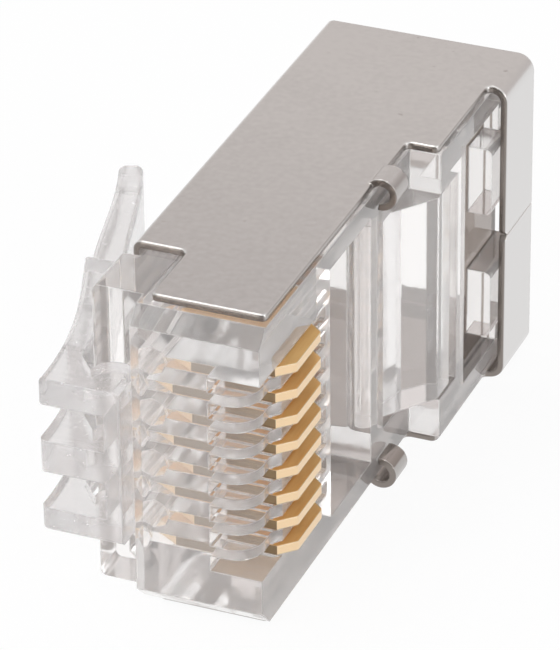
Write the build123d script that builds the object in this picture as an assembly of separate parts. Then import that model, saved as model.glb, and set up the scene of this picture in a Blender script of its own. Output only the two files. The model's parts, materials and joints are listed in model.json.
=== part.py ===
from build123d import *
import os
from math import cos, radians, sin

# Shielded eight-way modular plug, uncrimped and with no cable, lying on its side.
# X runs across the plug's height, towards the side where the contacts show.
# Y runs from the nose to the cable end, and Z runs across the plug's width.
# The origin is the middle of the nose's flat front face.
# A "depth" is a distance in from the contact side face, towards the latch side.

# Contact row
contact_count = 8
contact_pitch = 1.016
contact_thickness = 0.35
contact_stroke = 0.95
contact_stand_proud = 0.46
contact_front_y = 1.58
contact_plateau_y = 2.15
contact_plateau_length = 2.20
contact_length = 3.37
contact_shoulder_drop = 0.75
contact_knee_depth = 0.10
contact_corner_radius = 0.16
tine_count = 3
tine_height = 0.85
tine_tip_width = 0.12
contact_side_clearance = 0.03
contact_end_clearance = 0.05
contact_floor_clearance = 0.10

# Wire channels, in two staggered rows
channel_across_flats = 1.04
upper_row_depth = 4.30
row_stagger = 0.70
channel_front_y = 1.35
channel_rear_y = 10.40
tine_gap_to_channel = 0.05

# Housing, outside
housing_width = 11.68
nose_height = 4.70
nose_bevel = 0.60
body_depth = 6.05
pedestal_rise = 0.55
pedestal_front_y = 1.21
pedestal_length = 2.34
pedestal_corner_radius = 0.25
housing_rear_y = 21.40
collar_front_y = 13.98
collar_rise = 1.20
body_edge_chamfer = 0.30

# Housing, slots and windows on the contact side
slot_width = 0.60
slot_floor_depth = 1.92
rib_corner_radius = 1.00
rib_front_depth = 0.30
rib_step_y = 1.50
rib_step_length = 0.35
slot_mouth_width = 0.52
slot_mouth_depth = 0.25
slot_tail_length = 0.95
front_window_y = 6.33
front_window_length = 3.88
front_window_depth = 1.80
front_window_half_width = 5.00
rib_length = 1.18
cross_wall_y = 15.72
cross_wall_length = 0.74
roof_thickness = 0.60
rear_window_length = 3.44
rear_window_half_width = 4.95
rail_front_y = 18.30
rail_inner_z = 1.20
rail_outer_z = 3.90
rail_corner_radius = 0.25

# Cable cavity
cavity_half_width = 4.25
cavity_floor_depth = 5.35
cavity_front_y = 11.60
funnel_margin = 0.10

# Crimp bar, which holds the cable jacket
bar_side_clearance = 0.10
bar_hinge_depth = 0.75
bar_hinge_radius = 0.42
bar_hinge_clearance = 0.07
bar_top_y = 13.90
bar_rear_clearance = 0.45
bar_corner_radius = 0.25
bar_top_drop = 0.05
bar_heel_depth = 0.35
bar_tooth_depth = 1.12
bar_tooth_back = 0.70

# Latch
latch_half_width = 3.00
tab_half_width = 1.60
latch_front_y = -0.90
latch_root_cover = 0.25
latch_hinge_clearance = 0.05
latch_heel_gap = 0.43
latch_root_thickness = 0.77
latch_knee_length = 5.06
latch_knee_rise = 0.75
latch_arm_length = 5.53
latch_arm_rise = 1.95
latch_tab_length = 4.94
latch_tab_rise = 1.29
latch_tip_length = 1.77
latch_tip_rise = 0.62
latch_arm_thickness = 1.22
latch_tab_thickness = 1.00
latch_tip_thickness = 0.90
latch_tip_radius = 0.30
latch_edge_radius = 0.18
latch_nose_radius = 0.25
shoulder_y = 7.40
latch_slot_inner_z = 0.62
latch_slot_width = 1.43
latch_slot_floor_depth = 5.35
latch_slot_rear_y = 2.20

# Shield
sheet = 0.25
shield_gap = 0.02
shield_rear_y = 21.89
tongue_front_y = 0.87
tongue_height = 4.30
web_front_y = 4.01
band_front_y = 19.03
band_gap = 0.40
latch_side_bend = 0.35
band_bend = 0.63
panel_corner_radius = 0.25
seam_gap = 0.06
seam_notch = 0.30
panel_edge_depth = 0.12
rim_radius = 0.10
ear_front_y = 10.70
ear_length = 1.15
ear_radius = 0.60
ear_reach = 0.17
ear_drop = 0.16
ear_root_angle = 140
ear_tip_angle = -100

# Derived places
contact_side_x = nose_height / 2
half_width = housing_width / 2
rib_y = front_window_y + front_window_length
bar_window_y = rib_y + rib_length
rear_window_y = cross_wall_y + cross_wall_length
pedestal_depth = body_depth + pedestal_rise
pedestal_rear_y = pedestal_front_y + pedestal_length
well_floor_depth = roof_thickness - collar_rise
rear_roof_depth = well_floor_depth + roof_thickness
blade_rear_y = contact_front_y + contact_length
bar_hinge_y = bar_window_y + bar_hinge_clearance + bar_hinge_radius
latch_hinge_space = pedestal_depth - nose_height - latch_hinge_clearance - latch_root_cover
latch_hinge_radius = latch_hinge_space / 2
latch_hinge_depth = nose_height + latch_hinge_clearance + latch_hinge_radius
latch_hinge_y = pedestal_front_y - latch_hinge_clearance - latch_hinge_radius
latch_heel_depth = pedestal_depth + latch_heel_gap
latch_root_depth = latch_heel_depth + latch_root_thickness
shield_inner_z = half_width + shield_gap
shield_outer_z = shield_inner_z + sheet
web_inner_depth = body_depth + shield_gap
web_outer_depth = web_inner_depth + sheet
band_inner_rise = collar_rise + band_gap
band_outer_rise = band_inner_rise + sheet
rail_rise = band_inner_rise - latch_hinge_clearance
reach = 40.0


def side_x(depth):
    """Place along X of a depth in from the contact side face."""
    return contact_side_x - depth


def side_face(points):
    """Flat face in the side view, from (depth, y) corners."""
    corners = [(side_x(depth), y) for depth, y in points]
    return make_face(Polyline(*corners, close=True))


def across(face, half, middle=0.0):
    """The side-view face drawn out across the plug, by the same amount each way."""
    return Pos(0, 0, middle) * extrude(face, amount=half, both=True)


def block(depths, lengths, widths):
    """Box between two depths, two places along Y and two along Z."""
    x_low, x_high = side_x(max(depths)), side_x(min(depths))
    y_low, y_high = lengths
    z_low, z_high = widths
    box = Box(x_high - x_low, y_high - y_low, z_high - z_low)
    return Pos((x_low + x_high) / 2, (y_low + y_high) / 2, (z_low + z_high) / 2) * box


def contact_z(number):
    """Middle of a contact across the plug; contact 1 is the uppermost."""
    return ((contact_count - 1) / 2 - (number - 1)) * contact_pitch


def channel_depth(number):
    """Depth of a wire channel's axis; even contacts reach the deeper row."""
    return upper_row_depth + (row_stagger if number % 2 == 0 else 0.0)


def tip_depth(number):
    """Depth of a blade's tine tips, just short of its wire channel."""
    return channel_depth(number) - channel_across_flats / 2 - tine_gap_to_channel


# Contact blade, punched from flat strip

def contact_outline(number):
    """Side outline of a blade: proud plateau, rounded shoulders and pointed tines."""
    tip = tip_depth(number)
    root = tip - tine_height
    tine_pitch = contact_length / tine_count
    plateau_end = contact_plateau_y + contact_plateau_length
    points = [
        (contact_knee_depth, contact_front_y),
        (-contact_stand_proud, contact_plateau_y),
        (-contact_stand_proud, plateau_end),
        (contact_shoulder_drop - contact_stand_proud, blade_rear_y),
    ]
    for tine in reversed(range(tine_count)):
        middle = contact_front_y + (tine + 0.5) * tine_pitch
        points.append((root, middle + tine_pitch / 2))
        points.append((tip, middle + tine_tip_width / 2))
        points.append((tip, middle - tine_tip_width / 2))
    points.append((root, contact_front_y))
    return side_face(points)


def make_contact(number):
    """One gold-plated blade, with the corners of its plateau rounded."""
    face = contact_outline(number)
    outer_corners = face.vertices().group_by(Axis.X)[-1]
    face = fillet(outer_corners, radius=contact_corner_radius)
    return across(face, contact_thickness / 2, contact_z(number))


# Housing, moulded in clear plastic

def housing_shell():
    """Outside form: nose, pedestal under the nose, body and raised collar."""
    shell = across(
        side_face([
            (0, 0),
            (nose_height, 0),
            (nose_height, pedestal_front_y),
            (pedestal_depth, pedestal_front_y),
            (pedestal_depth, pedestal_rear_y),
            (body_depth, pedestal_rear_y),
            (body_depth, housing_rear_y),
            (-collar_rise, housing_rear_y),
            (-collar_rise, collar_front_y),
            (0, collar_front_y),
        ]),
        half_width,
    )
    nose_edges = shell.edges().filter_by(Axis.X).group_by(Axis.Y)[0]
    shell = chamfer(nose_edges, nose_bevel)
    long_edges = shell.edges().filter_by(Axis.Y)
    pedestal_edges = long_edges.group_by(Axis.X)[0]
    shell = fillet(pedestal_edges, pedestal_corner_radius)
    body_edges = shell.edges().filter_by(Axis.Y).filter_by_position(
        Axis.X, side_x(body_depth) - sheet / 2, side_x(body_depth) + sheet / 2
    )
    return chamfer(body_edges, body_edge_chamfer)


def rib_rounding():
    """What is cut from the nose's contact-side corner: the ribs' round front and their step."""
    turn_depth = rib_front_depth + rib_corner_radius
    cut = side_face([
        (-reach, -reach),
        (turn_depth, -reach),
        (turn_depth, rib_corner_radius),
        (rib_front_depth, rib_corner_radius),
        (rib_front_depth, rib_step_y),
        (0, rib_step_y + rib_step_length),
        (-reach, rib_step_y + rib_step_length),
    ])
    round_end = Pos(side_x(turn_depth), rib_corner_radius) * Circle(rib_corner_radius)
    row_half = contact_count / 2 * contact_pitch - (contact_pitch - slot_width) / 2
    return across(cut - round_end, row_half)


def contact_slots(number):
    """Open front slot, close-fitting blade slot and the shallow mouth and tail round it."""
    z = contact_z(number)
    blade_half = contact_thickness / 2 + contact_side_clearance
    blade_start = contact_front_y - contact_end_clearance
    blade_end = blade_rear_y + contact_end_clearance
    floor = tip_depth(number) + contact_stroke + contact_floor_clearance
    front = block(
        (-reach, slot_floor_depth),
        (-reach, blade_start + contact_end_clearance),
        (z - slot_width / 2, z + slot_width / 2),
    )
    blade = block((-reach, floor), (blade_start, blade_end), (z - blade_half, z + blade_half))
    mouth = block(
        (-reach, slot_mouth_depth),
        (blade_start, blade_end + slot_tail_length),
        (z - slot_mouth_width / 2, z + slot_mouth_width / 2),
    )
    return [front, blade, mouth]


def wire_channel(number):
    """Blind eight-sided channel for one insulated wire."""
    middle = (side_x(channel_depth(number)), contact_z(number))
    eight_sided = RegularPolygon(channel_across_flats / 2, 8, major_radius=False)
    section = Plane.XZ * (Pos(*middle) * eight_sided)
    length = channel_rear_y - channel_front_y
    return Pos(0, channel_front_y, 0) * extrude(section, amount=length, dir=(0, 1, 0))


def cable_cavity():
    """Cavity for the cable, the funnel to the channels and the wider mouth behind."""
    row_top = upper_row_depth - channel_across_flats / 2 - funnel_margin
    row_floor = upper_row_depth + row_stagger + channel_across_flats / 2 + funnel_margin
    row_half = (contact_count - 1) / 2 * contact_pitch + channel_across_flats / 2
    roof = bar_hinge_depth + bar_hinge_radius + bar_hinge_clearance
    narrow = Plane.XZ * (Pos(side_x((row_top + row_floor) / 2), 0)
                         * Rectangle(row_floor - row_top, 2 * row_half))
    wide = Plane.XZ * (Pos(side_x((roof + cavity_floor_depth) / 2), 0)
                       * Rectangle(cavity_floor_depth - roof, 2 * cavity_half_width))
    funnel = loft([Pos(0, channel_rear_y, 0) * narrow, Pos(0, cavity_front_y, 0) * wide])
    front_room = block(
        (roof, cavity_floor_depth),
        (cavity_front_y, cross_wall_y),
        (-cavity_half_width, cavity_half_width),
    )
    rear_room = block(
        (rear_roof_depth, cavity_floor_depth),
        (cross_wall_y, reach),
        (-cavity_half_width, cavity_half_width),
    )
    return [funnel, front_room, rear_room]


def bar_window():
    """Window in the contact side that the crimp bar swings through, with its hinge seat."""
    window = block(
        (-reach, cavity_floor_depth - roof_thickness),
        (bar_hinge_y, cross_wall_y),
        (-cavity_half_width, cavity_half_width),
    )
    mouth = block(
        (-reach, bar_hinge_depth),
        (bar_window_y, bar_hinge_y),
        (-cavity_half_width, cavity_half_width),
    )
    seat_radius = bar_hinge_radius + bar_hinge_clearance
    seat = across(Pos(side_x(bar_hinge_depth), bar_hinge_y) * Circle(seat_radius), cavity_half_width)
    return [window, mouth, seat]


def rear_window():
    """Shallow well between the cross wall and the band, and its slot between the rails."""
    rear_end = rear_window_y + rear_window_length
    well = block(
        (-reach, well_floor_depth),
        (rear_window_y, rear_end),
        (-rear_window_half_width, rear_window_half_width),
    )
    middle_slot = block((-reach, well_floor_depth), (rear_end, reach), (-rail_inner_z, rail_inner_z))
    return [well, middle_slot]


def rails():
    """Two rails that carry the band over the cable entry."""
    upper = block(
        (-rail_rise, well_floor_depth),
        (rail_front_y, housing_rear_y),
        (rail_inner_z, rail_outer_z),
    )
    outer_edges = upper.edges().filter_by(Axis.Y).group_by(Axis.X)[-1]
    upper = fillet(outer_edges, rail_corner_radius)
    return [upper, mirror(upper, about=Plane.XY)]


def make_housing():
    """The whole moulding, with its slots, channels, windows and cavity."""
    housing = housing_shell()
    housing -= rib_rounding()
    cuts = [block(
        (-reach, front_window_depth),
        (front_window_y, rib_y),
        (-front_window_half_width, front_window_half_width),
    )]
    for number in range(1, contact_count + 1):
        cuts += contact_slots(number)
        cuts.append(wire_channel(number))
    cuts += cable_cavity()
    cuts += bar_window()
    cuts += rear_window()
    for cut in cuts:
        housing -= cut
    for rail in rails():
        housing += rail
    return housing


# Crimp bar, moulded in the housing's window on a thin web

def make_crimp_bar():
    """Wedge that the crimping tool swings in onto the cable jacket."""
    rear = cross_wall_y - bar_rear_clearance
    top = bar_top_drop - collar_rise
    knuckle = Pos(side_x(bar_hinge_depth), bar_hinge_y) * Circle(bar_hinge_radius)
    wedge = side_face([
        (bar_hinge_depth - bar_hinge_radius, bar_hinge_y),
        (top, bar_top_y),
        (top, rear),
        (bar_heel_depth, rear),
        (bar_tooth_depth, rear - bar_tooth_back),
        (bar_hinge_depth + bar_hinge_radius, bar_hinge_y),
    ])
    wedge = fillet(wedge.vertices().group_by(Axis.X)[-1], radius=bar_corner_radius)
    return across(wedge + knuckle, cavity_half_width - bar_side_clearance)


# Latch lever, moulded with the housing on a flexible root

def latch_lines():
    """Outer and inner curve of the lever, from the root to the tip of the tab."""
    depth, y = latch_root_depth, latch_front_y
    outer_points = [(side_x(depth), y)]
    for length, rise in [
        (latch_knee_length, latch_knee_rise),
        (latch_arm_length, latch_arm_rise),
        (latch_tab_length, latch_tab_rise),
        (latch_tip_length, latch_tip_rise),
    ]:
        depth += rise
        y += length
        outer_points.append((side_x(depth), y))
    outer = Spline(*outer_points)
    thicknesses = [latch_arm_thickness, latch_arm_thickness, latch_tab_thickness, latch_tip_thickness]
    inner_points = [(side_x(latch_heel_depth), pedestal_front_y - latch_hinge_clearance)]
    for point, thickness in zip(outer_points[1:], thicknesses):
        along = outer % outer.param_at_point(point)
        inner_points.append((point[0] + thickness * along.Y, point[1] - thickness * along.X))
    return outer, Spline(*reversed(inner_points))


def latch_side_view():
    """Side outline of the lever: root, sprung arm and finger tab curved outwards."""
    outer_line, inner_line = latch_lines()
    tip_line = Line(outer_line @ 1, inner_line @ 0)
    root_line = Polyline(
        inner_line @ 1,
        (side_x(latch_hinge_depth + latch_hinge_radius), latch_hinge_y),
        (side_x(latch_hinge_depth - latch_hinge_radius), latch_hinge_y),
        (side_x(latch_hinge_depth - latch_hinge_radius), latch_front_y),
        outer_line @ 0,
    )
    arm = make_face([outer_line, tip_line, inner_line, root_line])
    tip_corners = arm.vertices().sort_by_distance(tip_line @ 0.5)[:2]
    arm = fillet(tip_corners, radius=latch_tip_radius)
    nose_corner = arm.vertices().group_by(Axis.Y)[0].sort_by(Axis.X)[0]
    return fillet(nose_corner, radius=latch_nose_radius)


def rounded_sides(lever, half):
    """The lever with the edges of both its flat sides rounded, along its curves."""
    for side_z in (-half, half):
        side_edges = lever.edges().filter_by_position(
            Axis.Z, side_z - latch_edge_radius / 10, side_z + latch_edge_radius / 10
        )
        lever = fillet(side_edges.filter_by(GeomType.BSPLINE), latch_edge_radius)
    return lever


def make_latch():
    """Lever with a broad root, two slots through it, catch shoulders and a slim tab."""
    side_view = latch_side_view()
    root_zone = side_face([
        (-reach, -reach), (reach, -reach), (reach, shoulder_y), (-reach, shoulder_y),
    ])
    broad = rounded_sides(across(side_view & root_zone, latch_half_width), latch_half_width)
    slim = rounded_sides(across(side_view, tab_half_width), tab_half_width)
    knuckle = Pos(side_x(latch_hinge_depth), latch_hinge_y) * Circle(latch_hinge_radius)
    latch = broad + slim + across(knuckle, latch_half_width)
    slot_middle = latch_slot_inner_z + latch_slot_width / 2
    for side in (-1, 1):
        latch -= block(
            (latch_slot_floor_depth, reach),
            (-reach, latch_slot_rear_y),
            (side * slot_middle - latch_slot_width / 2, side * slot_middle + latch_slot_width / 2),
        )
    return latch


# Shield, folded from one sheet

def shield_tube():
    """Rounded rectangular tube that the folded sheet lies in."""
    def ring(outset):
        depth_low = -band_inner_rise - outset
        depth_high = web_inner_depth + outset
        half = shield_inner_z + outset
        middle_x = side_x((depth_low + depth_high) / 2)
        outline = Pos(middle_x, 0) * Rectangle(depth_high - depth_low, 2 * half)
        latch_side = outline.vertices().group_by(Axis.X)[0]
        outline = fillet(latch_side, latch_side_bend - sheet + outset)
        contact_side = outline.vertices().group_by(Axis.X)[-1]
        return fillet(contact_side, band_bend - sheet + outset)

    section = Plane.XZ * (ring(sheet) - ring(0))
    length = shield_rear_y - tongue_front_y
    return Pos(0, tongue_front_y, 0) * extrude(section, amount=length, dir=(0, 1, 0))


def panel_outline():
    """Side outline of the sheet: tongue, notch, panel edge, step and band."""
    face = side_face([
        (panel_edge_depth, tongue_front_y),
        (panel_edge_depth, collar_front_y),
        (panel_edge_depth - collar_rise, collar_front_y),
        (panel_edge_depth - collar_rise, band_front_y),
        (-reach, band_front_y),
        (-reach, reach),
        (reach, reach),
        (reach, web_front_y),
        (tongue_height, web_front_y),
        (tongue_height, tongue_front_y),
    ])
    x_low, x_high = side_x(tongue_height) - sheet, side_x(-collar_rise) + sheet
    rounded = face.vertices().filter_by_position(Axis.Y, tongue_front_y, band_front_y)
    return fillet(rounded.filter_by_position(Axis.X, x_low, x_high), panel_corner_radius)


def ear():
    """Curled earthing ear: a rolled hook around the corner of the housing."""
    middle = (side_x(-ear_reach), shield_outer_z - sheet - ear_drop)
    ring = Circle(ear_radius) - Circle(ear_radius - sheet)
    fan = [(0, 0)]
    for step in range(5):
        angle = radians(ear_tip_angle + (ear_root_angle - ear_tip_angle) * step / 4)
        fan.append((2 * ear_radius * cos(angle), 2 * ear_radius * sin(angle)))
    hook = ring & make_face(Polyline(*fan, close=True))
    section = Plane.XZ * (Pos(*middle) * hook)
    return Pos(0, ear_front_y, 0) * extrude(section, amount=ear_length, dir=(0, 1, 0))


def rounded_rims(shield):
    """The sheet with its outer cut edges rounded: one smooth chain round both side panels."""
    upper_rims = shield.edges().filter_by_position(
        Axis.Z, shield_outer_z - rim_radius / 10, shield_outer_z + rim_radius / 10
    )
    return fillet(upper_rims.group_by(Axis.Y)[0], rim_radius)


def make_shield():
    """The folded sheet, with its ears and the seam of the band."""
    shield = rounded_rims(shield_tube() & across(panel_outline(), reach))
    upper_ear = ear()
    shield = shield + upper_ear + mirror(upper_ear, about=Plane.XY)
    shield -= block((-reach, 0), (band_front_y - sheet, reach), (-seam_gap / 2, seam_gap / 2))
    corner_cut = Rot(45, 0, 0) * Box(reach / 10, seam_notch, seam_notch)
    return shield - Pos(side_x(-band_inner_rise), band_front_y, 0) * corner_cut


def make_parts():
    """Every sub-part by its node name."""
    parts = {
        "housing": make_housing(),
        "crimp_bar": make_crimp_bar(),
        "latch": make_latch(),
        "shield": make_shield(),
    }
    for number in range(1, contact_count + 1):
        parts[f"contact_{number}"] = make_contact(number)
    return parts


def main():
    os.makedirs("parts", exist_ok=True)
    for name, solid in make_parts().items():
        export_step(solid, f"parts/{name}.step")


main()
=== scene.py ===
import json
import math

import bpy
from mathutils import Matrix, Vector


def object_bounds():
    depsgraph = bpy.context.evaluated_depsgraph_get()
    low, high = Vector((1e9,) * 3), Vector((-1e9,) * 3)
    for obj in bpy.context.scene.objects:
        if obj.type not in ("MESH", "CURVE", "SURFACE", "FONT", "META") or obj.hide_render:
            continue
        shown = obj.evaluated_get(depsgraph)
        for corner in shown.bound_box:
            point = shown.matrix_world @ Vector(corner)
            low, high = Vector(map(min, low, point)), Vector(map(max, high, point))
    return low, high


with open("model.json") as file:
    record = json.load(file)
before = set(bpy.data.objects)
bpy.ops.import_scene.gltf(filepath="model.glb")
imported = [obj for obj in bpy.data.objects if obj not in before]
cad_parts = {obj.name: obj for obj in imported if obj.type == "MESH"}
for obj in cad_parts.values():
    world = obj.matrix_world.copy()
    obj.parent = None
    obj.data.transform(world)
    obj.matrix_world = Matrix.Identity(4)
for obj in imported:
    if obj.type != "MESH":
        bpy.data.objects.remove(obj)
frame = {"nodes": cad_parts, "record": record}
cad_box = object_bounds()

# Names that end in _MM are in millimetres, and those in _WAVES are waves per metre.
# Names that end in _SPAN hold the two values that a blend runs between.
MM = 0.001

# Camera, as fitted to the photograph
IMAGE_HEIGHT_PX = 650
SENSOR_MM = 36.0
FOCAL_PX = 4883.5
AZIMUTH_DEG = 22.456
ELEVATION_DEG = 30.353
ROLL_DEG = -0.623
DISTANCE_MM = 173.286
TARGET_MM = (-0.15, 10.39, 0.0)
FRAMING_RIGHT_MM = 0.964
FRAMING_UP_MM = -0.069
CLIP_METRES = (0.01, 20.0)

# Floor
FLOOR_SIZE_MM = 3000.0
FLOOR_GAP_MM = 0.02
FLOOR_GREY = (0.92, 0.92, 0.92, 1.0)
FLOOR_WHITE = (0.93, 0.93, 0.93, 1.0)
FLOOR_WAVES = 40.0
FLOOR_GLOW = 0.92

# Sky; its spans are of the Y part of the direction looked in
SKY_FILL = (0.70, 0.70, 0.71, 1.0)
SKY_WHITE = (1.0, 1.0, 1.0, 1.0)
SKY_BEHIND = (0.70, 0.655, 0.64, 1.0)
SKY_BEFORE = (0.16, 0.145, 0.14, 1.0)
SKY_BEHIND_SPAN = (0.25, 0.75)
SKY_BEFORE_SPAN = (-0.35, -0.80)

# Lamps: name, place in millimetres, size in millimetres, watts
SOFTBOXES = (
    ("top_softbox", (-70.0, 20.0, 260.0), 110.0, 0.13),
    ("front_softbox", (-110.0, -230.0, 120.0), 90.0, 0.14),
    ("right_softbox", (240.0, -60.0, 90.0), 90.0, 0.11),
    ("rim_lamp", (60.0, -160.0, 230.0), 45.0, 0.05),
)

# How often light passes through or off the clear plastic
LIGHT_BOUNCES = 32
CLEAR_LAYERS = 64

# Edges: samples of the rounded normal, and its cosine with the face from flat to sharp
BEVEL_SAMPLES = 4
EDGE_TURN_SPAN = (0.985, 0.80)

# Clear plastic
HOUSING_TINT = (0.995, 0.977, 0.967, 1.0)
HOUSING_ROUGHNESS = (0.03, 0.12)
HOUSING_TOOLING_WAVES = (420.0, 420.0, 420.0)
LATCH_TINT = (0.85, 0.832, 0.828, 1.0)
LATCH_ROUGHNESS = (0.16, 0.30)
LATCH_TOOLING_WAVES = (500.0, 5000.0, 5000.0)
PLASTIC_IOR = 1.5
PLASTIC_CLEAR = 0.89
# Painted highlight: the edges are less clear, so they show whitish, as rounded clear edges catch
# light.
PLASTIC_EDGE_HIGHLIGHT_CLEAR = 0.40
PLASTIC_SEEN = 1.0
PLASTIC_LIT = 0.0
PLASTIC_RIM_MM = 0.045
PLASTIC_BUMP = {"strength": 0.25, "distance_mm": 0.05, "edge_mm": 0.08}
SCRATCH_WAVES = 5200.0
SCRATCH_DETAIL = 4.0
SCRATCH_DISTORTION = 1.5
SCRATCH_SPAN = (0.45, 0.75)
# Painted shade: a dark brown floor in the rear well, standing in for the shadowed inside of the
# shell.
WELL_SHADE = (0.15, 0.112, 0.092, 1.0)
WELL_UNDER_SPAN_MM = (2.88, 2.92)
WELL_OVER_SPAN_MM = (3.02, 2.98)
WELL_START_SPAN_MM = (17.2, 18.2)

# Nickel-plated sheet
# Painted shading: from the dark tone at the nose to the pale one at the rear, standing in for the
# light on the sheet; the clouds, mottle and specks are its own uneven tone.
NICKEL_PALE = (0.74, 0.726, 0.712, 1.0)
NICKEL_DARK = (0.585, 0.571, 0.561, 1.0)
NICKEL_SHADING_SPAN_MM = (-6.0, 20.0)
NICKEL_CLOUD_WAVES = 260.0
NICKEL_CLOUD_SHARE = (0.7, 1.3)
NICKEL_MOTTLE_WAVES = 4200.0
NICKEL_MOTTLE_SPAN = (0.3, 0.7)
NICKEL_MOTTLE_SHARE = (-0.15, 0.15)
NICKEL_SPECK = (0.50, 0.47, 0.45, 1.0)
NICKEL_SPECK_WAVES = 1300.0
NICKEL_SPECK_DETAIL = 4.0
NICKEL_SPECK_SPAN = (0.70, 0.76)
# Painted shading: the faces towards the contact side take their own shade of the sheet.
NICKEL_CONTACT_SIDE_SHADE = (0.685, 0.672, 0.665, 1.0)
# Painted shade: brown on the inner faces behind the nose, standing in for the shadowed inside of
# the shell.
NICKEL_INNER_SHADE = (0.44, 0.40, 0.375, 1.0)
# Painted light: near white on the inner faces at the nose, standing in for the light through the
# clear nose.
NICKEL_INNER_LIGHT = (0.95, 0.935, 0.925, 1.0)
NICKEL_INNER_SPAN_MM = (6.0, 10.0)
NICKEL_INNER_LIGHT_SPAN_MM = (10.0, 6.0)
# Painted highlight: near white on the rims, which are also polished.
NICKEL_RIM_HIGHLIGHT = (0.95, 0.94, 0.93, 1.0)
NICKEL_RIM_MM = 0.12
# Painted shade: dark on the cut faces towards the nose and on the side edges.
NICKEL_EDGE_SHADE = (0.26, 0.23, 0.21, 1.0)
NICKEL_SATIN = 0.24
NICKEL_POLISH = 0.08
NICKEL_GRAIN_WAVES = 5000.0
NICKEL_GRAIN_DETAIL = 2.0
NICKEL_BUMP = {"strength": 0.05, "distance_mm": 0.01, "edge_mm": 0.10}
CONTACT_SIDE_SPAN = (0.5, 0.8)
NOSE_CUT_SPAN = (-0.5, -0.8)
SIDE_CUT_SHARE = 0.55
SIDE_CUT_SPAN_MM = (3.7, 3.6)
INWARD_SPAN_MM = (0.0, -0.5)

# Gold-plated contacts
GOLD_PALE = (0.98, 0.64, 0.26, 1.0)
GOLD_DARK = (0.84, 0.49, 0.17, 1.0)
GOLD_DRAWN_WAVES = (9000.0, 900.0, 9000.0)
# Painted shading: the side faces take a paler, less yellow gold.
GOLD_SIDE_SHADING = (0.86, 0.64, 0.40, 1.0)
GOLD_SIDE_SPAN = (0.7, 0.3)
# Painted highlight: pale bright gold on the edges.
GOLD_RIM_HIGHLIGHT = (0.97, 0.80, 0.58, 1.0)
GOLD_RIM_MM = 0.06
GOLD_CUT = (0.22, 0.15, 0.08, 1.0)
GOLD_CUT_SPAN = (-0.85, -0.95)
GOLD_METAL = 0.6
GOLD_SATIN = 0.35
GOLD_POLISH = 0.18
GOLD_BUMP = {"strength": 0.1, "distance_mm": 0.01, "edge_mm": 0.05}

# Sockets of Blender's Mix node when it mixes colours
MIX_FACTOR, MIX_FIRST, MIX_SECOND, MIX_RESULT = 0, 6, 7, 2


def metres(values_mm):
    """A place or size in metres from millimetres."""
    return Vector([value * MM for value in values_mm])


def feed(tree, socket, value):
    """Links an input to a socket, or sets it to a plain value."""
    if isinstance(value, bpy.types.NodeSocket):
        tree.links.new(value, socket)
    else:
        socket.default_value = value


def add_node(tree, kind, **inputs):
    """A shader node with its inputs set or linked by name."""
    node = tree.nodes.new(kind)
    for name, value in inputs.items():
        feed(tree, node.inputs[name.replace("_", " ")], value)
    return node


def new_material(name):
    """An empty node material and its tree, with the output node."""
    material = bpy.data.materials.new(name)
    material.use_nodes = True
    tree = material.node_tree
    tree.nodes.clear()
    output = tree.nodes.new("ShaderNodeOutputMaterial")
    return material, tree, output


def object_place(tree):
    """Object coordinates, in metres, the same on every node of the frame."""
    return tree.nodes.new("ShaderNodeTexCoord").outputs["Object"]


def noise(tree, waves, detail=3.0, distortion=0.0):
    """Value of a noise texture."""
    node = add_node(
        tree, "ShaderNodeTexNoise",
        Vector=object_place(tree), Scale=waves, Detail=detail,
        Roughness=0.5, Distortion=distortion,
    )
    return node.outputs["Fac"]


def streaks(tree, waves):
    """Value of a noise with its own number of waves along X, Y and Z."""
    place = add_node(tree, "ShaderNodeMapping", Vector=object_place(tree), Scale=waves)
    node = add_node(
        tree, "ShaderNodeTexNoise",
        Vector=place.outputs["Vector"], Scale=1.0, Detail=3.0,
    )
    return node.outputs["Fac"]


def remap(tree, value, span_in, span_out=(0.0, 1.0)):
    """The value taken from one span to another, clamped."""
    node = tree.nodes.new("ShaderNodeMapRange")
    feed(tree, node.inputs["Value"], value)
    node.inputs["From Min"].default_value, node.inputs["From Max"].default_value = span_in
    node.inputs["To Min"].default_value, node.inputs["To Max"].default_value = span_out
    return node.outputs["Result"]


def share_of(tree, share, none, full):
    """A value that runs from one number to another as the share goes from zero to one."""
    return remap(tree, share, (0.0, 1.0), (none, full))


def mix_colour(tree, factor, first, second):
    """Blend of two colours, plain or linked, by a factor."""
    node = tree.nodes.new("ShaderNodeMix")
    node.data_type = "RGBA"
    feed(tree, node.inputs[MIX_FACTOR], factor)
    feed(tree, node.inputs[MIX_FIRST], first)
    feed(tree, node.inputs[MIX_SECOND], second)
    return node.outputs[MIX_RESULT]


def combine(tree, operation, first, second):
    """Result of one operation of the Math node on two linked values."""
    node = tree.nodes.new("ShaderNodeMath")
    node.operation = operation
    feed(tree, node.inputs[0], first)
    feed(tree, node.inputs[1], second)
    return node.outputs[0]


def dot_product(tree, first, second):
    """Dot product of two linked vectors."""
    node = tree.nodes.new("ShaderNodeVectorMath")
    node.operation = "DOT_PRODUCT"
    feed(tree, node.inputs[0], first)
    feed(tree, node.inputs[1], second)
    return node.outputs["Value"]


def rounded_normal(tree, edge_mm):
    """The normal with its edges softened over a radius."""
    bevel = tree.nodes.new("ShaderNodeBevel")
    bevel.samples = BEVEL_SAMPLES
    bevel.inputs["Radius"].default_value = edge_mm * MM
    return bevel.outputs["Normal"]


def rounded_bump(tree, height, strength, distance_mm, edge_mm):
    """Normal with softened edges and a fine bump on it."""
    bump = add_node(
        tree, "ShaderNodeBump",
        Height=height, Strength=strength, Distance=distance_mm * MM,
        Normal=rounded_normal(tree, edge_mm),
    )
    return bump.outputs["Normal"]


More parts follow.
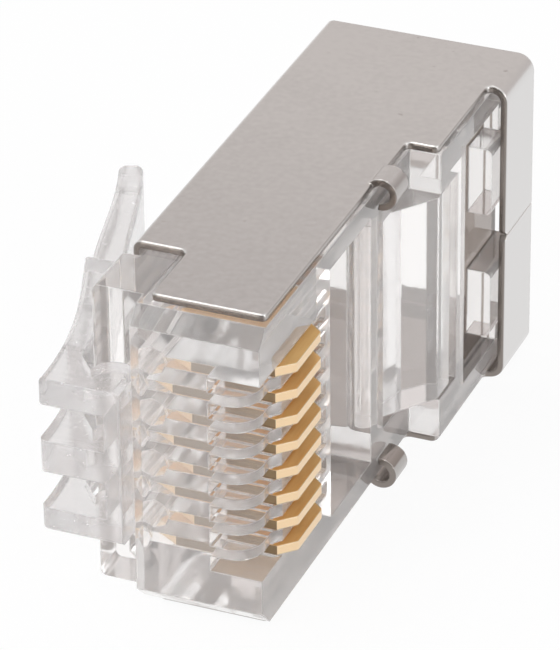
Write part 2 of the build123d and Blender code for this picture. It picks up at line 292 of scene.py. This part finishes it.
def edge_share(tree, edge_mm):
    """One on sharp edges and zero on flat faces, from the rounded normal."""
    flat = tree.nodes.new("ShaderNodeNewGeometry").outputs["True Normal"]
    turn = dot_product(tree, rounded_normal(tree, edge_mm), flat)
    return remap(tree, turn, EDGE_TURN_SPAN)


def facing(tree, axis, span):
    """Zero to one as the surface turns to face along an axis of the part."""
    normal = tree.nodes.new("ShaderNodeTexCoord").outputs["Normal"]
    parts = add_node(tree, "ShaderNodeSeparateXYZ", Vector=normal)
    return remap(tree, parts.outputs[axis], span)


def along(tree, axis, span_mm):
    """Zero to one between two places along an axis of the part."""
    place = add_node(tree, "ShaderNodeSeparateXYZ", Vector=object_place(tree))
    return remap(tree, place.outputs[axis], metres(span_mm))


def lit_through(tree):
    """Alpha that lets shadow and diffuse rays pass, so that light reaches what is inside."""
    path = tree.nodes.new("ShaderNodeLightPath").outputs
    light = combine(tree, "MAXIMUM", path["Is Shadow Ray"], path["Is Diffuse Ray"])
    return share_of(tree, light, PLASTIC_SEEN, PLASTIC_LIT)


def well_floor_shade(tree):
    """One on the floor of the rear well, where painted shade stands in for the shadowed inside of
    the shell.
    """
    level = combine(
        tree, "MULTIPLY",
        along(tree, "X", WELL_UNDER_SPAN_MM), along(tree, "X", WELL_OVER_SPAN_MM),
    )
    return combine(tree, "MULTIPLY", level, along(tree, "Y", WELL_START_SPAN_MM))


def clear_plastic(name, tint, roughness, tooling_waves, has_well_shade=False):
    """Moulded polycarbonate: clear, with tool marks and fine scratches; its edges are whitish and
    less clear as a painted highlight, and where asked, its rear well floor takes painted shade.
    """
    material, tree, output = new_material(name)
    tooling = streaks(tree, tooling_waves)
    rim = edge_share(tree, PLASTIC_RIM_MM)
    scratches = noise(tree, SCRATCH_WAVES, SCRATCH_DETAIL, SCRATCH_DISTORTION)
    # Painted shade on the rear well floor.
    colour = mix_colour(tree, well_floor_shade(tree), tint, WELL_SHADE) if has_well_shade else tint
    # Painted highlight: the edges are less clear and whitish.
    shader = add_node(
        tree, "ShaderNodeBsdfPrincipled",
        Base_Color=colour, Alpha=lit_through(tree), IOR=PLASTIC_IOR,
        Transmission_Weight=share_of(tree, rim, PLASTIC_CLEAR, PLASTIC_EDGE_HIGHLIGHT_CLEAR),
        Roughness=remap(tree, scratches, SCRATCH_SPAN, roughness),
        Normal=rounded_bump(tree, tooling, **PLASTIC_BUMP),
    )
    feed(tree, output.inputs["Surface"], shader.outputs["BSDF"])
    return material


def shaded_cut_faces(tree):
    """Mask of painted shade: one on the sheet's cut faces towards the nose, part of one on the
    panels' side edges.
    """
    towards_nose = facing(tree, "Y", NOSE_CUT_SPAN)
    sideways = share_of(tree, facing(tree, "X", CONTACT_SIDE_SPAN), 0.0, SIDE_CUT_SHARE)
    side_edges = combine(tree, "MULTIPLY", sideways, along(tree, "X", SIDE_CUT_SPAN_MM))
    return combine(tree, "MAXIMUM", towards_nose, side_edges)


def inner_faces(tree):
    """One on the faces of the shell that look towards its middle line."""
    place = add_node(
        tree, "ShaderNodeMapping", Vector=object_place(tree), Scale=(1.0, 0.0, 1.0),
    )
    normal = tree.nodes.new("ShaderNodeTexCoord").outputs["Normal"]
    outward = dot_product(tree, place.outputs["Vector"], normal)
    return remap(tree, outward, metres(INWARD_SPAN_MM))


def nickel_shading_and_tone(tree):
    """Zero to one from darker at the nose to paler at the rear, which is painted shading, with
    the sheet's own cloudy and mottled tone on it.
    """
    clouds = remap(tree, noise(tree, NICKEL_CLOUD_WAVES), (0.0, 1.0), NICKEL_CLOUD_SHARE)
    tone = combine(tree, "MULTIPLY", along(tree, "Y", NICKEL_SHADING_SPAN_MM), clouds)
    mottle = remap(
        tree, noise(tree, NICKEL_MOTTLE_WAVES), NICKEL_MOTTLE_SPAN, NICKEL_MOTTLE_SHARE,
    )
    return combine(tree, "ADD", tone, mottle)


def nickel():
    """Nickel-plated sheet: satin faces, faintly cloudy and specked, with painted shading from
    darker at the nose to paler at the rear and on the contact side, polished rims with painted
    highlights, painted shade inside behind the nose, painted light inside at the nose, and
    painted shade on its cut faces."""
    material, tree, output = new_material("nickel")
    grain = noise(tree, NICKEL_GRAIN_WAVES, NICKEL_GRAIN_DETAIL)
    speck_noise = noise(tree, NICKEL_SPECK_WAVES, NICKEL_SPECK_DETAIL)
    specks = remap(tree, speck_noise, NICKEL_SPECK_SPAN)
    rim = edge_share(tree, NICKEL_RIM_MM)
    within = inner_faces(tree)
    inner = combine(tree, "MULTIPLY", within, along(tree, "Y", NICKEL_INNER_SPAN_MM))
    lit_inside = combine(tree, "MULTIPLY", within, along(tree, "Y", NICKEL_INNER_LIGHT_SPAN_MM))
    colour = mix_colour(tree, nickel_shading_and_tone(tree), NICKEL_DARK, NICKEL_PALE)
    # Painted shading on the contact side, painted shade and light inside, painted highlights on
    # the rims and painted shade on the cut faces.
    for share, tone in (
        (specks, NICKEL_SPECK),
        (facing(tree, "X", CONTACT_SIDE_SPAN), NICKEL_CONTACT_SIDE_SHADE),
        (inner, NICKEL_INNER_SHADE),
        (lit_inside, NICKEL_INNER_LIGHT),
        (rim, NICKEL_RIM_HIGHLIGHT),
        (shaded_cut_faces(tree), NICKEL_EDGE_SHADE),
    ):
        colour = mix_colour(tree, share, colour, tone)
    polish = combine(tree, "MAXIMUM", rim, inner)
    shader = add_node(
        tree, "ShaderNodeBsdfPrincipled",
        Base_Color=colour, Metallic=1.0,
        Roughness=share_of(tree, polish, NICKEL_SATIN, NICKEL_POLISH),
        Normal=rounded_bump(tree, grain, **NICKEL_BUMP),
    )
    feed(tree, output.inputs["Surface"], shader.outputs["BSDF"])
    return material


def gold():
    """Gold-plated blade: satin, drawn along its length, with painted highlights on its edges and
    painted shading that makes its side faces paler, dark at its front.
    """
    material, tree, output = new_material("gold")
    drawn = streaks(tree, GOLD_DRAWN_WAVES)
    rim = edge_share(tree, GOLD_RIM_MM)
    colour = mix_colour(tree, drawn, GOLD_DARK, GOLD_PALE)
    # Painted shading on the side faces and painted highlights on the edges.
    for share, tone in (
        (facing(tree, "Z", GOLD_SIDE_SPAN), GOLD_SIDE_SHADING),
        (rim, GOLD_RIM_HIGHLIGHT),
        (facing(tree, "Y", GOLD_CUT_SPAN), GOLD_CUT),
    ):
        colour = mix_colour(tree, share, colour, tone)
    shader = add_node(
        tree, "ShaderNodeBsdfPrincipled",
        Base_Color=colour, Metallic=GOLD_METAL,
        Roughness=share_of(tree, rim, GOLD_SATIN, GOLD_POLISH),
        Normal=rounded_bump(tree, drawn, **GOLD_BUMP),
    )
    feed(tree, output.inputs["Surface"], shader.outputs["BSDF"])
    return material


def seen_ray(tree):
    """One for camera, glossy and transmission rays, else zero."""
    path = tree.nodes.new("ShaderNodeLightPath").outputs
    seen = combine(tree, "MAXIMUM", path["Is Camera Ray"], path["Is Glossy Ray"])
    return combine(tree, "MAXIMUM", seen, path["Is Transmission Ray"])


def pale_floor():
    """Matt white floor that shows white to the eye and keeps a soft shadow."""
    material, tree, output = new_material("floor_white")
    colour = mix_colour(tree, noise(tree, FLOOR_WAVES), FLOOR_GREY, FLOOR_WHITE)
    matt = add_node(tree, "ShaderNodeBsdfDiffuse", Color=colour)
    glow = add_node(tree, "ShaderNodeEmission", Strength=1.0)
    mix = tree.nodes.new("ShaderNodeMixShader")
    glow_share = share_of(tree, seen_ray(tree), 0.0, FLOOR_GLOW)
    for socket, value in zip(mix.inputs, (glow_share, matt.outputs[0], glow.outputs[0])):
        feed(tree, socket, value)
    feed(tree, output.inputs["Surface"], mix.outputs[0])
    return material


def make_floor():
    """The plane that the part rests on."""
    half = FLOOR_SIZE_MM * MM / 2
    level = cad_box[0][2] - FLOOR_GAP_MM * MM
    mesh = bpy.data.meshes.new("floor")
    corners = [(x * half, y * half, level) for x, y in ((-1, -1), (1, -1), (1, 1), (-1, 1))]
    mesh.from_pydata(corners, [], [(0, 1, 2, 3)])
    mesh.materials.append(pale_floor())
    floor = bpy.data.objects.new("floor", mesh)
    bpy.context.collection.objects.link(floor)


def make_world():
    """Soft even light; what is seen is white, and metal mirrors a warm sweep and a dim room."""
    world = bpy.data.worlds.new("studio")
    bpy.context.scene.world = world
    world.use_nodes = True
    tree = world.node_tree
    tree.nodes.clear()
    output = tree.nodes.new("ShaderNodeOutputWorld")
    direction = tree.nodes.new("ShaderNodeTexCoord").outputs["Generated"]
    towards_rear = add_node(tree, "ShaderNodeSeparateXYZ", Vector=direction).outputs["Y"]
    behind = remap(tree, towards_rear, SKY_BEHIND_SPAN)
    before = remap(tree, towards_rear, SKY_BEFORE_SPAN)
    mirrored = mix_colour(tree, behind, SKY_WHITE, SKY_BEHIND)
    mirrored = mix_colour(tree, before, mirrored, SKY_BEFORE)
    glossy = tree.nodes.new("ShaderNodeLightPath").outputs["Is Glossy Ray"]
    seen = mix_colour(tree, glossy, SKY_WHITE, mirrored)
    colour = mix_colour(tree, seen_ray(tree), SKY_FILL, seen)
    background = add_node(tree, "ShaderNodeBackground", Color=colour, Strength=1.0)
    feed(tree, output.inputs["Surface"], background.outputs[0])


def make_softbox(name, place_mm, size_mm, watts):
    """A square area lamp that faces the part."""
    lamp = bpy.data.lights.new(name, "AREA")
    lamp.shape = "SQUARE"
    lamp.size = size_mm * MM
    lamp.energy = watts
    box = bpy.data.objects.new(name, lamp)
    box.location = metres(place_mm)
    aim = metres(TARGET_MM) - box.location
    box.rotation_euler = aim.to_track_quat("-Z", "Y").to_euler()
    bpy.context.collection.objects.link(box)


def make_camera():
    """The photograph's camera, aimed at the fitted target."""
    azimuth = math.radians(AZIMUTH_DEG)
    elevation = math.radians(ELEVATION_DEG)
    roll = math.radians(ROLL_DEG)
    back = Vector((
        math.sin(azimuth) * math.cos(elevation),
        -math.cos(azimuth) * math.cos(elevation),
        math.sin(elevation),
    ))
    level_right = Vector((math.cos(azimuth), math.sin(azimuth), 0.0))
    level_up = back.cross(level_right)
    right = level_right * math.cos(roll) + level_up * math.sin(roll)
    up = level_up * math.cos(roll) - level_right * math.sin(roll)
    offset_mm = back * DISTANCE_MM - right * FRAMING_RIGHT_MM - up * FRAMING_UP_MM
    place = metres(TARGET_MM) + offset_mm * MM
    turn = Matrix((right, up, back)).transposed().to_4x4()
    data = bpy.data.cameras.new("camera")
    data.sensor_fit = "VERTICAL"
    data.sensor_height = SENSOR_MM
    data.lens = FOCAL_PX / IMAGE_HEIGHT_PX * SENSOR_MM
    data.clip_start, data.clip_end = CLIP_METRES
    camera = bpy.data.objects.new("camera", data)
    camera.matrix_world = Matrix.Translation(place) @ turn
    bpy.context.collection.objects.link(camera)
    bpy.context.scene.camera = camera


def dress(node, material):
    """Gives a CAD node its finish."""
    slots = frame["nodes"][node].data.materials
    slots.clear()
    slots.append(material)


def dress_nodes():
    """Finishes by the record's material slots, and a rougher plastic for the latch."""
    finishes = {
        "clear_plastic": clear_plastic(
            "clear_plastic", HOUSING_TINT, HOUSING_ROUGHNESS, HOUSING_TOOLING_WAVES,
            has_well_shade=True,
        ),
        "shield_metal": nickel(),
        "contact_gold": gold(),
    }
    for subpart in frame["record"]["subparts"]:
        dress(subpart["node"], finishes[subpart["material_slot"]])
    textured = clear_plastic(
        "textured_plastic", LATCH_TINT, LATCH_ROUGHNESS, LATCH_TOOLING_WAVES,
    )
    dress("latch", textured)


def set_light_paths():
    """Plain view, and enough bounces for light to cross the clear housing."""
    scene = bpy.context.scene
    scene.view_settings.view_transform = "Standard"
    scene.cycles.max_bounces = LIGHT_BOUNCES
    scene.cycles.transmission_bounces = LIGHT_BOUNCES
    scene.cycles.glossy_bounces = LIGHT_BOUNCES
    scene.cycles.transparent_max_bounces = CLEAR_LAYERS


dress_nodes()
make_floor()
make_world()
for softbox in SOFTBOXES:
    make_softbox(*softbox)
make_camera()
set_light_paths()
